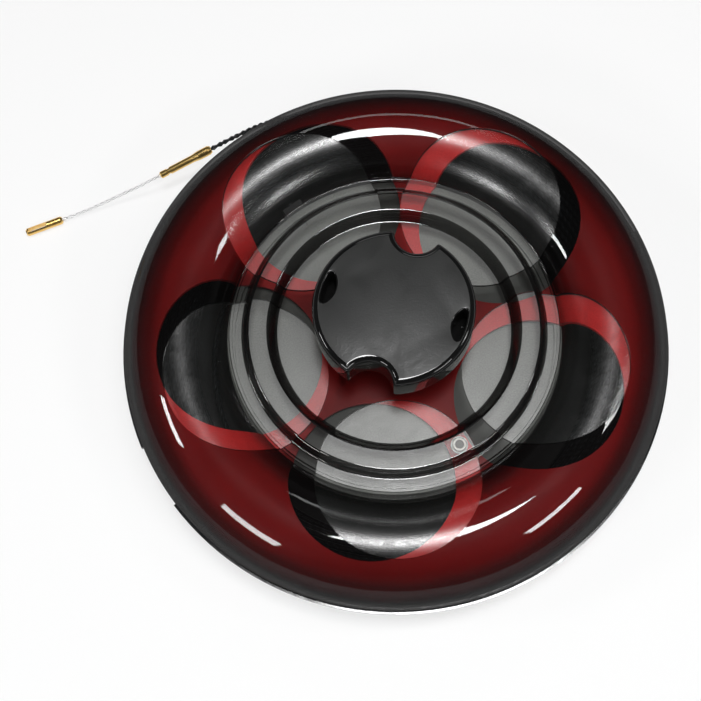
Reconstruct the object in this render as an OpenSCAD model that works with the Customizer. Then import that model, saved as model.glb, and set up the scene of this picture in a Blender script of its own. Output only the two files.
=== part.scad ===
// Enclosed reel for a draw-in tape, lying on its back with its axis upright.
// A see-through round case holds a five-window winding drum, which a finger knob turns.
// The twisted tape leaves the rim and ends in a brass sleeve, a wire leader and a pulling eye.

/* [Case] */
// Largest radius of the case, at the middle of its rounded rim
case_r = 150; // [146:1:160]
// Radius of the round tube that the case is shaped as
tube_r = 32; // [31:0.5:34]
// Wall of both shells
case_wall = 2.2; // [1.8:0.1:2.6]
// Depth of the flat that the tube's underside is cut to, as a foot
foot_flat = 1; // [0.5:0.1:1.4]
// How far the rear shell's rim bead stands out past the tube
bead_out = 1.2; // [0.8:0.1:2]
// Height of the rim bead
bead_h = 3; // [2:0.25:4]
// Height of the shadow gap between the front shell and the bead
seam_gap = 0.6; // [0.3:0.1:1]
// Width of the prising gaps in the rim bead, in degrees
prise_angle = 14; // [8:1:24]
// Height of the rear shell's centring lip inside the front shell
lip_h = 2.5; // [1.5:0.5:4]
// Thickness of the centring lip
lip_t = 0.9; // [0.7:0.1:1.1]

/* [Hub face] */
// Height of the dished middle above the case's middle plane
dish_h = 13.6; // [13:0.1:14.5]
// Height of the raised ring above the middle plane
ring_h = 19.8; // [18:0.1:21]
// Height of the low outer ring above the middle plane
ledge_h = 15; // [14.5:0.1:16.5]
// Width of the raised ring's flat top
ring_w = 12.3; // [10:0.1:14]
// Width of the low outer ring's flat top
ledge_w = 6.9; // [5:0.1:9]
// Slope of the steps between the dish and the rings, in degrees
step_slope = 60; // [45:1:70]
// Width of the groove where the tube meets the low ring
groove_w = 1.6; // [1:0.1:2]
// Depth of that groove
groove_d = 1; // [0.5:0.1:1.2]

/* [Pads] */
// Number of round frosted pads sunk into each shell
pad_count = 5; // [5:1:5]
// Radius of a pad
pad_r = 43.5; // [40:0.5:45]
// Distance of a pad's centre from the axis
pad_pitch_r = 83.4; // [82:0.1:86]
// Direction of the first pad's centre, in degrees
pad_start = 48.7; // [0:0.1:72]
// Depth of a pad
pad_depth = 0.8; // [0.4:0.1:1]
// Radius of the round plug in the raised ring
plug_r = 3.5; // [2.5:0.1:4.5]
// Direction of the plug, in degrees
plug_angle = 290.9; // [285:0.1:295]

/* [Knob] */
// Radius of the knob's cap
knob_r = 42.5; // [40:0.5:45]
// Height of the knob's top above the middle plane
knob_top_h = 51; // [48:0.5:54]
// Height of the knob's cap
knob_cap_h = 18; // [15:0.5:20]
// Rounding of the cap's upper edge
knob_round = 4; // [2:0.5:6]
// Radius of a finger notch and of a finger pocket
notch_r = 12.4; // [11:0.1:14]
// Distance of a notch's or pocket's centre from the axis
notch_pitch_r = 44; // [43:0.1:47]
// Number of finger notches, and of finger pockets between them
notch_count = 2; // [2:1:2]
// Direction of the first finger notch, in degrees
notch_start = 66.5; // [0:0.5:90]
// Rim of the cap left outside a finger pocket
pocket_rim = 2.4; // [1.5:0.1:3]
// Thickness of the floor left under a finger pocket
pocket_floor = 3; // [2:0.5:5]
// Radius of the knob's neck under the cap
neck_r = 27; // [22:0.5:30]
// Radius of the knob's stem, where it runs in the front bush
stem_r = 14; // [12:0.5:16]

/* [Spindle] */
// Radius of the spindle
spindle_r = 6; // [5:0.25:7]
// Width across the flats of the spindle's head, held in the knob
head_af = 18; // [16:0.5:20]
// Height of the spindle's head
head_h = 10; // [8:0.5:11]
// Width across the flats of the rear nut
nut_af = 18; // [16:0.5:20]
// Height of the rear nut
nut_h = 6.5; // [5:0.5:8]
// Radius of the cross pin that drives the drum
drive_pin_r = 2; // [1.5:0.1:2.5]

/* [Bushes and washers] */
// Wall of the front bush
front_bush_wall = 4; // [3:0.25:5]
// Wall of the rear bush
rear_bush_wall = 4; // [3:0.25:5]
// How far the bushes' flanges reach past their bodies
bush_flange = 5; // [3:0.5:6]
// Thickness of the bushes' flanges
bush_flange_t = 2; // [1.5:0.1:2.2]
// Thickness of the thrust washer on the drum's boss
thrust_t = 1; // [0.8:0.1:1.2]
// Thickness of the rear washer under the nut
rear_washer_t = 1.5; // [1:0.1:2]
// Thickness of the disc spring's plate
spring_t = 0.6; // [0.4:0.1:0.8]

/* [Drum] */
// Gap between the drum and the inside of the case
drum_gap = 2; // [1.8:0.1:2.4]
// Wall of the drum's two flanges
drum_wall = 2; // [1.6:0.1:2.2]
// Height of the drum's flat middle above and below the middle plane
drum_floor_h = 6.4; // [6:0.1:6.6]
// Number of round windows in the front flange
window_count = 5; // [5:1:5]
// Radius of a window
window_r = 43.9; // [40:0.1:45]
// Distance of a window's centre from the axis
window_pitch_r = 84.5; // [83:0.1:87]
// Direction of the first window at rest, in degrees
window_start = 39.7; // [0:0.1:72]
// Depth of the tape's slot below the middle plane
slot_drop = 8; // [7:0.5:8.5]
// Height of the slot between the two flanges at the rim
slot_h = 8; // [7:0.5:9]
// Wall of the drum core's ring
core_wall = 4; // [3:0.5:6]
// Thickness of the drum core's web
core_web_t = 3; // [2:0.5:3.5]
// Radius of the drum core's boss
core_boss_r = 20; // [19.5:0.5:22]
// Distance of the drum screws from the axis
screw_pitch_r = 66; // [62:0.5:70]
// Radius of the drum screws' shanks
screw_r = 1.5; // [1.2:0.1:2]

/* [Tape] */
// Radius of the tape
tape_r = 1.5; // [1.2:0.1:1.6]
// Least gap between neighbouring turns of the winding's outer layer
turn_gap = 0.45; // [0.3:0.05:0.8]
// How far the winding lies out from the middle of its channel
bundle_shift = 6.95; // [6.5:0.05:7.5]
// Radius of the exit guide
guide_r = 3.4; // [3:0.1:3.6]
// Length of the exit guide
guide_len = 19; // [16:0.5:22]
// Radius of the brass sleeve at its larger end
sleeve_r = 2.8; // [2.4:0.1:3.2]
// Length of the leader's ferrule
ferrule_len = 6.5; // [5:0.5:8]
// Radius of the wire leader
leader_r = 1; // [0.6:0.1:1]
// Radius of the pulling eye
eye_r = 2.4; // [2:0.1:2.5]
// Width of the pulling eye's slot
eye_slot_w = 2.4; // [2:0.1:2.8]

/* [Clearances] */
// Radial clearance of a shaft that turns in its bush
run_clear = 0.05; // [0.02:0.01:0.1]
// Clearance of a seated piece in its hole
seat_clear = 0.05; // [0:0.01:0.1]
// Gap beside faces that pass each other
face_gap = 0.4; // [0.3:0.05:0.6]

/* [Hidden] */
$fn = 96;

// Heights below are measured from the case's middle plane, which lies this far above the foot
mid_z = tube_r - foot_flat;
tube_pitch_r = case_r - tube_r;
past = 5;
shell_in_r = tube_r - case_wall;

// The rings of the hub face follow each other inwards from the tube
ledge_out_r = tube_pitch_r - sqrt(tube_r * tube_r - ledge_h * ledge_h);
ledge_in_r = ledge_out_r - ledge_w;
ring_out_r = ledge_in_r - (ring_h - ledge_h) / tan(step_slope);
ring_in_r = ring_out_r - ring_w;
dish_r = ring_in_r - (ring_h - dish_h) / tan(step_slope);
step_turn = tan(step_slope / 2);
prise_start = 205;
prise_count = 2;
plug_proud = 0.3;
plug_dip = 0.5;
plug_rim = 1.2;
plug_foot = 1;

knob_cap_z = knob_top_h - knob_cap_h;
front_hole_r = stem_r + run_clear + front_bush_wall;
rear_hole_r = spindle_r + run_clear + rear_bush_wall;
dish_in_h = dish_h - case_wall;
bush_in_h = dish_in_h - bush_flange_t;
bush_proud = 0.6;
thrust_gap = 0.2;
spring_gap = 0.1;
head_cover = 6;

// The drum's boss fills the space between the bushes, less the thrust washer and the disc spring
boss_top_h = bush_in_h - thrust_gap - thrust_t;
boss_low_h = 8.2;
spring_h = bush_in_h - boss_low_h - spring_gap;
spring_out_r = rear_hole_r + 3;
rear_washer_h = dish_h + bush_proud + face_gap;
nut_z = rear_washer_h + rear_washer_t;
spindle_low_h = nut_z + nut_h + 2;
head_top_h = knob_top_h - head_cover;
pin_drop = 5;

drum_r = shell_in_r - drum_gap;
channel_r = drum_r - drum_wall;
core_r = tube_pitch_r - channel_r;
floor_in_h = drum_floor_h - drum_wall;
core_web_h = 2;
spoke_turn = 180 / window_count;
screw_post_r = 4.5;
screw_head_r = 3;
screw_head_h = 2.2;
floor_skin = 0.8;
screw_tip_gap = 0.2;
socket_af = 2.5;
socket_h = 1.2;

// The winding fills the outer, lower part of the channel, level with the tape's slot
bundle_drop = slot_drop;
bundle_out_r = channel_r - face_gap - norm([bundle_shift, bundle_drop]);
bundle_r = bundle_out_r - tape_r;
bundle_pitch_r = tube_pitch_r + bundle_shift;
coil_turns = floor(PI * bundle_r / (2 * tape_r + turn_gap));
anchor_t = 6;
anchor_w = 12;
anchor_h = 8;
anchor_tape_r = core_r + 3;
anchor_tape_h = -2;
anchor_start = 120;
anchor_screw_r = 1.2;
anchor_head_r = 1.9;
anchor_head_h = 1.4;
slot_clear = 0.3;

// The routes below are drawn for one case and one height of the tape's slot, and move with the real ones
drawn_case_r = 150;
drawn_exit_z = 23;
drawn_ground_z = 2.6;
exit_z = mid_z - slot_drop;
ground_z = eye_r + 0.2;
route_stretch = (exit_z - ground_z) / (drawn_exit_z - drawn_ground_z);

function placed(p) = [
  p[0],
  p[1] + case_r - drawn_case_r,
  ground_z + (p[2] - drawn_ground_z) * route_stretch
];

// The tape's stretch from inside the rim, through the exit guide, to the brass sleeve
tape_route = [for (p = [
  [93, 111, 23], [77, 123, 23], [59, 132.5, 23], [40, 139.3, 23], [25.2, 142.7, 23], [12.6, 144.4, 23],
  [2.6, 145.2, 23], [-7.4, 146.1, 23], [-17.3, 147, 23], [-27.3, 147.9, 23], [-35, 148.2, 23],
  [-42, 148.1, 23], [-50, 147.5, 22.9], [-57, 146.3, 22.8], [-64, 144.6, 22.7], [-71.5, 142.2, 22.4],
  [-83, 138.1, 21.6], [-94, 134, 20.5]
]) placed(p)];
// The wire leader, from the ferrule down to the pulling eye on the ground
leader_route = [for (p = [
  [-126, 123.5, 14.5], [-130, 122.4, 13.5], [-134, 121.3, 12.4], [-138, 120.3, 11.2], [-142, 119.4, 9.9],
  [-146, 118.5, 8.8], [-150, 117.6, 7.8], [-154, 116.6, 6.8], [-158, 115.6, 6], [-162, 114.5, 5.2],
  [-166, 113.4, 4.5], [-170, 112.3, 3.9], [-174, 111.3, 3.4], [-178, 110.3, 3], [-182, 109.3, 2.8],
  [-186, 108.3, 2.6], [-189, 107.5, 2.6]
]) placed(p)];
eye_end = placed([-211, 101.5, 2.6]);
guide_start = placed([-8.4, 146.2, 23]);
guide_aim = placed([-27.3, 147.9, 23]);
guide_lip_r = guide_r + 0.8;
guide_lip_len = 1.5;
guide_lead_in = 15;
cord_sides = 8;
sleeve_tip_r = sleeve_r * 0.8;
sleeve_waist_from = 0.3;
sleeve_waist_to = 0.45;
sleeve_chamfer = 0.8;
sleeve_chamfer_len = 1.5;
ferrule_r = sleeve_r * 0.75;
ferrule_neck_r = sleeve_r * 0.6;
ferrule_neck_len = 1.5;
ferrule_chamfer_len = 0.5;
eye_chamfer = 0.7;
eye_chamfer_len = 1;
eye_slot_from = 0.42;
eye_tip_len = 1.6;

// Flat outlines, with the radius across and the height above the middle plane up

module tube_disc(r) {
  translate([tube_pitch_r, 0]) circle(r);
}

// Repeated and oriented shapes

module at_mid() {
  translate([0, 0, mid_z]) children();
}

module round_array(count, start, pitch_r) {
  for (i = [0 : count - 1]) {
    rotate([0, 0, start + 360 / count * i]) translate([pitch_r, 0, 0]) children();
  }
}

module ring(r_out, r_in, z_low, z_high) {
  difference() {
    translate([0, 0, z_low]) cylinder(r = r_out, h = z_high - z_low);
    translate([0, 0, z_low - past]) cylinder(r = r_in, h = z_high - z_low + 2 * past);
  }
}

// Stands a shape that points along +Z on a point, pointing at another
module aimed(from, to) {
  way = to - from;
  translate(from)
    rotate([0, acos(way[2] / norm(way)), atan2(way[1], way[0])])
      children();
}

// Everything under the case's front face, drawn in by inset
module shell_body(inset) {
  corner = inset * step_turn;
  rotate_extrude() tube_disc(tube_r - inset);
  rotate_extrude()
    polygon([
      [0, -past], [0, dish_h - inset], [dish_r + corner, dish_h - inset],
      [ring_in_r + corner, ring_h - inset], [ring_out_r - corner, ring_h - inset],
      [ledge_in_r - corner, ledge_h - inset], [tube_pitch_r, ledge_h - inset], [tube_pitch_r, -past]
    ]);
}

// What the pads take off a front face
module pad_cuts() {
  difference() {
    round_array(pad_count, pad_start, pad_pitch_r) cylinder(r = pad_r, h = 2 * tube_r);
    shell_body(pad_depth);
  }
}

// One half of the case, pads included, without its holes
module case_half() {
  groove_out_r = ledge_out_r + groove_w / 8;
  difference() {
    shell_body(0);
    shell_body(case_wall);
    translate([0, 0, -2 * tube_r]) cylinder(r = case_r + past, h = 2 * tube_r);
    ring(groove_out_r, groove_out_r - groove_w, ledge_h - groove_d, ledge_h + past);
    pad_cuts();
  }
}

// Swept tubes

function unit(v) = v / norm(v);
function last(list) = list[len(list) - 1];

function tangent(route, i) =
  unit(route[min(i + 1, len(route) - 1)] - route[max(i - 1, 0)]);

function ring_points(route, i, r, sides) =
  let (
    along = tangent(route, i),
    side = unit(cross(along, [0, 0, 1])),
    up = cross(side, along)
  )
  [for (k = [0 : sides - 1]) route[i] + r * (cos(360 * k / sides) * side + sin(360 * k / sides) * up)];

// One unbroken tube along a route, closed by flat ends
module swept_tube(route, r, sides) {
  rings = len(route);
  points = [for (i = [0 : rings - 1]) each ring_points(route, i, r, sides)];
  walls = [
    for (i = [0 : rings - 2], k = [0 : sides - 1])
      let (a = i * sides + k, b = i * sides + (k + 1) % sides)
      each [[a, b, b + sides], [a, b + sides, a + sides]]
  ];
  ends = [
    for (k = [1 : sides - 2]) each [
      [0, k + 1, k],
      [(rings - 1) * sides, (rings - 1) * sides + k, (rings - 1) * sides + k + 1]
    ]
  ];
  polyhedron(points = points, faces = concat(walls, ends));
}

// The winding: a tail from the drum's anchor, then the outer layer over the inner turns

coil_steps = 24;
tail_turns = 0.5;
layer_angle = 180 / coil_turns;

function ease(u) = u * u * (3 - 2 * u);
function mix(a, b, u) = a + (b - a) * u;
function part_done(turn, span) = min(1, max(0, (turn + tail_turns) / span));

// The tail drops to the bundle's level before it moves out to the bundle's side
function coil_profile(turn) =
  let (
    layer = layer_angle * turn,
    down = ease(part_done(turn, tail_turns * 0.5)),
    across = ease(part_done(turn, tail_turns * 0.8))
  )
  [
    mix(anchor_tape_r, bundle_pitch_r - bundle_r * cos(layer), across),
    mix(anchor_tape_h, bundle_r * sin(layer) - bundle_drop, down)
  ];

function coil_point(turn) =
  let (place = coil_profile(turn), angle = anchor_start + 360 * (turn + tail_turns))
  [place[0] * cos(angle), place[0] * sin(angle), place[1] + mid_z];

coil_route = [for (i = [-tail_turns * coil_steps : coil_turns * coil_steps]) coil_point(i / coil_steps)];

half_turn = coil_steps / 2;
coil_gap = min([
  for (i = [0 : len(coil_route) - half_turn - 1])
    min([for (j = [i + half_turn : len(coil_route) - 1]) norm(coil_route[j] - coil_route[i])])
]) - 2 * tape_r;
echo(least_gap_between_turns = coil_gap);

// Pieces of the case

module front_shell() {
  color([0.45, 0.08, 0.08, 0.45])
    at_mid()
      difference() {
        case_half();
        cylinder(r = front_hole_r + seat_clear, h = 2 * tube_r);
        rotate([0, 0, plug_angle])
          translate([(ring_in_r + ring_out_r) / 2, 0, 0])
            cylinder(r = plug_r + seat_clear, h = 2 * tube_r);
      }
}

module rim_bead() {
  arc = 360 / prise_count - prise_angle;
  for (i = [0 : prise_count - 1]) {
    rotate([0, 0, prise_start + prise_angle / 2 + 360 / prise_count * i])
      rotate_extrude(angle = arc)
        translate([case_r - case_wall / 2, -seam_gap - bead_h])
          square([case_wall / 2 + bead_out, bead_h]);
  }
}

// The lip is fast to the rear shell's wall below the middle plane, and clears the front shell's above it
module rim_lip() {
  lip_out_r = tube_pitch_r + sqrt(shell_in_r * shell_in_r - lip_h * lip_h) - seat_clear;
  ring(lip_out_r, lip_out_r - lip_t, -lip_h, lip_h);
  ring(case_r - case_wall / 2, lip_out_r - lip_t, -lip_h, 0);
}

module guide_boss() {
  aimed(guide_start - [0, 0, mid_z], guide_aim - [0, 0, mid_z])
    translate([0, 0, guide_len / 4])
      cylinder(r = guide_r + case_wall / 2, h = guide_len / 2);
}

// Room for the exit guide and its lip, with a lead-in for the tape on the inside
module guide_space() {
  translate([0, 0, -guide_lead_in]) cylinder(r = guide_r + seat_clear, h = guide_lead_in + guide_len + past);
  translate([0, 0, guide_len - seat_clear]) cylinder(r = guide_lip_r + seat_clear, h = past);
}

module rear_shell() {
  color([0.06, 0.06, 0.06])
    at_mid()
      difference() {
        union() {
          mirror([0, 0, 1]) case_half();
          rim_bead();
          rim_lip();
          difference() {
            guide_boss();
            rotate_extrude() tube_disc(shell_in_r);
          }
        }
        aimed(guide_start - [0, 0, mid_z], guide_aim - [0, 0, mid_z])
          guide_space();
        translate([0, 0, -2 * tube_r]) cylinder(r = rear_hole_r + seat_clear, h = 2 * tube_r);
        translate([0, 0, -mid_z - past]) cylinder(r = case_r + past, h = past);
      }
}

module vent_plug() {
  plug_top = ring_h - pad_depth + plug_proud;
  color([0.6, 0.6, 0.58])
    at_mid()
      rotate([0, 0, plug_angle])
        translate([(ring_in_r + ring_out_r) / 2, 0, 0])
          difference() {
            union() {
              translate([0, 0, ring_h - case_wall]) cylinder(r = plug_r, h = plug_top - ring_h + case_wall);
              translate([0, 0, ring_h - case_wall - plug_foot])
                cylinder(r = plug_r + plug_foot, h = plug_foot);
            }
            translate([0, 0, plug_top - plug_dip]) cylinder(r = plug_r - plug_rim, h = past);
          }
}

module front_bush() {
  color([0.75, 0.72, 0.62])
    at_mid() {
      ring(front_hole_r, stem_r + run_clear, bush_in_h, dish_h + bush_proud);
      ring(front_hole_r + bush_flange, front_hole_r - front_bush_wall / 2, bush_in_h, dish_in_h);
    }
}

module rear_bush() {
  color([0.75, 0.72, 0.62])
    at_mid()
      mirror([0, 0, 1]) {
        ring(rear_hole_r, spindle_r + run_clear, bush_in_h, dish_h + bush_proud);
        ring(rear_hole_r + bush_flange, rear_hole_r - rear_bush_wall / 2, bush_in_h, dish_in_h);
      }
}

// A coned washer that keeps a light drag on the drum
module disc_spring() {
  spring_in_r = spindle_r + 1;
  color([0.55, 0.55, 0.58])
    at_mid()
      translate([0, 0, -bush_in_h])
        rotate_extrude()
          polygon([
            [spring_out_r, 0], [spring_out_r, spring_t],
            [spring_in_r, spring_h], [spring_in_r, spring_h - spring_t]
          ]);
}

module exit_guide() {
  color([0.1, 0.1, 0.1])
    aimed(guide_start, guide_aim)
      difference() {
        union() {
          cylinder(r = guide_r, h = guide_len);
          translate([0, 0, guide_len]) cylinder(r = guide_lip_r, h = guide_lip_len);
        }
        translate([0, 0, -past]) cylinder(r = tape_r + face_gap, h = guide_len + 2 * past);
      }
}

// Pieces that turn with the knob

module knob_outline() {
  square([stem_r, knob_cap_z]);
  polygon([[0, dish_h + past], [stem_r, dish_h + past], [neck_r, knob_cap_z], [0, knob_cap_z]]);
  translate([0, knob_cap_z]) square([knob_r, knob_cap_h - knob_round]);
  translate([0, knob_cap_z]) square([knob_r - knob_round, knob_cap_h]);
  translate([knob_r - knob_round, knob_top_h - knob_round]) circle(knob_round);
}

module knob() {
  color([0.12, 0.12, 0.12])
    at_mid()
      difference() {
        rotate_extrude() intersection() {
          knob_outline();
          translate([0, boss_top_h]) square([knob_r + past, knob_top_h]);
        }
        round_array(notch_count, notch_start, notch_pitch_r)
          translate([0, 0, knob_cap_z - past]) cylinder(r = notch_r, h = knob_cap_h + 2 * past);
        intersection() {
          round_array(notch_count, notch_start + 180 / notch_count, notch_pitch_r)
            translate([0, 0, knob_cap_z + pocket_floor]) cylinder(r = notch_r, h = knob_cap_h);
          cylinder(r = knob_r - pocket_rim, h = knob_top_h + past);
        }
        cylinder(r = spindle_r + seat_clear, h = head_top_h);
        translate([0, 0, head_top_h - head_h]) hexagon(head_af + 2 * seat_clear, head_h);
      }
}

module hexagon(across_flats, h) {
  cylinder(r = across_flats / 2 / cos(30), h = h, $fn = 6);
}

module spindle() {
  color([0.7, 0.7, 0.72])
    at_mid()
      difference() {
        union() {
          translate([0, 0, -spindle_low_h]) cylinder(r = spindle_r, h = spindle_low_h + head_top_h - head_h);
          translate([0, 0, head_top_h - head_h]) hexagon(head_af, head_h);
        }
        drive_pin_hole(0);
      }
}

module drive_pin_hole(clear) {
  translate([0, 0, -pin_drop])
    rotate([0, 90, 0])
      cylinder(r = drive_pin_r + clear, h = 2 * core_boss_r + 2 * past, center = true);
}

module drive_pin() {
  color([0.7, 0.7, 0.72])
    at_mid()
      translate([0, 0, -pin_drop])
        rotate([0, 90, 0])
          cylinder(r = drive_pin_r, h = 2 * core_boss_r - 1, center = true);
}

module thrust_washer() {
  color([0.85, 0.85, 0.8])
    at_mid()
      ring(core_boss_r, stem_r + seat_clear, boss_top_h, boss_top_h + thrust_t);
}

module rear_washer() {
  color([0.7, 0.7, 0.72])
    at_mid()
      ring(2 * spindle_r, spindle_r + seat_clear, -rear_washer_h - rear_washer_t, -rear_washer_h);
}

module rear_nut() {
  color([0.6, 0.6, 0.62])
    at_mid()
      difference() {
        translate([0, 0, -nut_z - nut_h]) hexagon(nut_af, nut_h);
        translate([0, 0, -nut_z - nut_h - past]) cylinder(r = spindle_r + seat_clear, h = nut_h + 2 * past);
      }
}

// A flange's round wall and flat floor; its outer edge stops edge_h above the middle plane
module flange_outline(edge_h) {
  difference() {
    union() {
      intersection() {
        tube_disc(drum_r);
        union() {
          translate([tube_pitch_r, edge_h]) square([drum_r + past, drum_r + past - edge_h]);
          translate([0, floor_in_h]) square([tube_pitch_r, drum_r]);
        }
      }
      translate([core_boss_r + seat_clear, floor_in_h])
        square([tube_pitch_r - core_boss_r - channel_r / 2, drum_wall]);
    }
    tube_disc(channel_r);
  }
}

module drum_screw_places() {
  round_array(window_count, window_start + spoke_turn, screw_pitch_r) children();
}

module drum_front() {
  color([0.5, 0.06, 0.06])
    at_mid()
      difference() {
        union() {
          rotate_extrude() flange_outline(slot_h / 2 - slot_drop);
          drum_screw_places()
            translate([0, 0, core_web_h])
              cylinder(r = screw_post_r, h = floor_in_h - core_web_h + drum_wall / 2);
        }
        round_array(window_count, window_start, window_pitch_r)
          translate([0, 0, -tube_r]) cylinder(r = window_r, h = 2 * tube_r);
        drum_screw_places()
          translate([0, 0, -past]) cylinder(r = screw_r + seat_clear, h = past + drum_floor_h - floor_skin);
      }
}

module drum_core() {
  web_low = core_web_h - core_web_t;
  color([0.42, 0.43, 0.42])
    at_mid()
      difference() {
        union() {
          ring(core_r, core_r - core_wall, -floor_in_h, floor_in_h);
          translate([0, 0, web_low]) cylinder(r = core_r - core_wall / 2, h = core_web_t);
          translate([0, 0, -boss_low_h]) cylinder(r = core_boss_r, h = boss_low_h + boss_top_h);
          drum_screw_places()
            translate([0, 0, -floor_in_h]) cylinder(r = screw_post_r, h = floor_in_h + core_web_h);
        }
        translate([0, 0, -tube_r]) cylinder(r = spindle_r + seat_clear, h = 2 * tube_r);
        drive_pin_hole(seat_clear);
        drum_screw_places()
          translate([0, 0, -tube_r]) cylinder(r = screw_r + seat_clear, h = 2 * tube_r);
        rotate([0, 0, anchor_start])
          translate([core_r - core_wall - past, 0, -anchor_tape_h])
            rotate([0, 90, 0])
              cylinder(r = anchor_screw_r + seat_clear, h = core_wall + 2 * past);
      }
}

module drum_rear() {
  color([0.05, 0.05, 0.05])
    at_mid()
      mirror([0, 0, 1])
        difference() {
          rotate_extrude() flange_outline(slot_drop + slot_h / 2);
          mirror([0, 0, 1])
            drum_screw_places()
              translate([0, 0, -tube_r]) cylinder(r = screw_r + seat_clear, h = 2 * tube_r);
        }
}

module drum_screws() {
  tip_h = drum_floor_h - floor_skin - screw_tip_gap;
  color([0.7, 0.7, 0.72])
    at_mid()
      drum_screw_places()
        difference() {
          union() {
            translate([0, 0, -drum_floor_h]) cylinder(r = screw_r, h = drum_floor_h + tip_h);
            translate([0, 0, -drum_floor_h - screw_head_h]) cylinder(r = screw_head_r, h = screw_head_h);
          }
          translate([0, 0, -drum_floor_h - screw_head_h]) hexagon(socket_af, socket_h);
        }
}

// A saddle on the core's ring that holds the tape's inner end
module tape_anchor() {
  color([0.3, 0.3, 0.3])
    at_mid()
      rotate([0, 0, anchor_start])
        difference() {
          translate([0, -anchor_w / 2, -anchor_h / 2]) cube([core_r + anchor_t, anchor_w, anchor_h]);
          translate([0, 0, -anchor_h]) cylinder(r = core_r, h = 2 * anchor_h);
          translate([anchor_tape_r, 0, anchor_tape_h])
            rotate([90, 0, 180 / coil_steps])
              cylinder(r = tape_r + slot_clear, h = 2 * anchor_w, center = true);
          translate([0, 0, -anchor_tape_h])
            rotate([0, 90, 0])
              cylinder(r = anchor_screw_r + seat_clear, h = 2 * core_r);
        }
}

module anchor_screw() {
  grip = anchor_t + core_wall - floor_skin;
  color([0.7, 0.7, 0.72])
    at_mid()
      rotate([0, 0, anchor_start])
        translate([core_r + anchor_t, 0, -anchor_tape_h])
          rotate([0, 90, 0]) {
            translate([0, 0, -grip]) cylinder(r = anchor_screw_r, h = grip);
            cylinder(r = anchor_head_r, h = anchor_head_h);
          }
}

// The turns under the outer layer, as one plain core that is fuller below
module tape_inner_turns() {
  chord_dip = (bundle_pitch_r + bundle_r) * (1 - cos(180 / coil_steps));
  tail_dip = bundle_r * sin(layer_angle * tail_turns);
  color([0.04, 0.04, 0.04])
    at_mid()
      rotate_extrude()
        translate([bundle_pitch_r, -bundle_drop]) {
          circle(bundle_r - tape_r - face_gap - chord_dip);
          intersection() {
            circle(bundle_out_r);
            translate([-bundle_out_r, -bundle_out_r])
              square([2 * bundle_out_r, bundle_out_r - tape_r - face_gap - tail_dip]);
          }
        }
}

module tape_coil() {
  color([0.04, 0.04, 0.04]) swept_tube(coil_route, tape_r, 6);
}

// The tape's free end and what is on it

module tape_lead() {
  color([0.04, 0.04, 0.04]) swept_tube(tape_route, tape_r, cord_sides);
}

module tape_sleeve() {
  from = last(tape_route);
  to = leader_route[0];
  body_len = norm(to - from) - ferrule_len;
  color([0.78, 0.6, 0.25])
    aimed(from, to)
      rotate_extrude()
        polygon([
          [0, 0], [sleeve_r - sleeve_chamfer, 0], [sleeve_r, sleeve_chamfer_len],
          [sleeve_r, body_len * sleeve_waist_from], [sleeve_tip_r, body_len * sleeve_waist_to],
          [sleeve_tip_r, body_len], [0, body_len]
        ]);
}

module leader_ferrule() {
  to = leader_route[0];
  from = last(tape_route);
  neck_z = ferrule_len - ferrule_neck_len;
  color([0.72, 0.52, 0.2])
    aimed(to, from)
      rotate_extrude()
        polygon([
          [0, 0], [ferrule_neck_r, 0], [ferrule_r, ferrule_chamfer_len],
          [ferrule_r, neck_z - ferrule_chamfer_len], [ferrule_neck_r, neck_z],
          [ferrule_neck_r, ferrule_len], [0, ferrule_len]
        ]);
}

module wire_leader() {
  color([0.8, 0.8, 0.8]) swept_tube(leader_route, leader_r, cord_sides);
}

module pulling_eye() {
  from = last(leader_route);
  eye_len = norm(eye_end - from);
  slot_ends = [eye_len * eye_slot_from + eye_slot_w / 2, eye_len - eye_tip_len - eye_slot_w / 2];
  color([0.78, 0.6, 0.25])
    aimed(from, eye_end)
      difference() {
        rotate_extrude()
          polygon([
            [0, 0], [eye_r - eye_chamfer, 0], [eye_r, eye_chamfer_len], [eye_r, eye_len - eye_chamfer_len],
            [eye_r - eye_chamfer, eye_len], [0, eye_len]
          ]);
        translate([-tube_r, -eye_slot_w / 2, slot_ends[0]])
          cube([2 * tube_r, eye_slot_w, slot_ends[1] - slot_ends[0]]);
        for (z = slot_ends) {
          translate([0, 0, z]) rotate([0, 90, 0]) cylinder(r = eye_slot_w / 2, h = 2 * tube_r, center = true);
        }
      }
}

front_shell();
rear_shell();
vent_plug();
front_bush();
rear_bush();
disc_spring();
exit_guide();
knob();
spindle();
drive_pin();
thrust_washer();
rear_washer();
rear_nut();
drum_front();
drum_core();
drum_rear();
drum_screws();
tape_anchor();
anchor_screw();
tape_inner_turns();
tape_coil();
tape_lead();
tape_sleeve();
leader_ferrule();
wire_leader();
pulling_eye();
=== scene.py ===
"""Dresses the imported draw-in tape reel and sets its studio stage.

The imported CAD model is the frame. Every piece made here is in metres in the same frame and rides on a CAD
body.
"""

import math

import bmesh
import bpy
from bpy.props import FloatProperty, FloatVectorProperty, IntProperty, PointerProperty
from mathutils import Matrix, Vector


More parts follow.
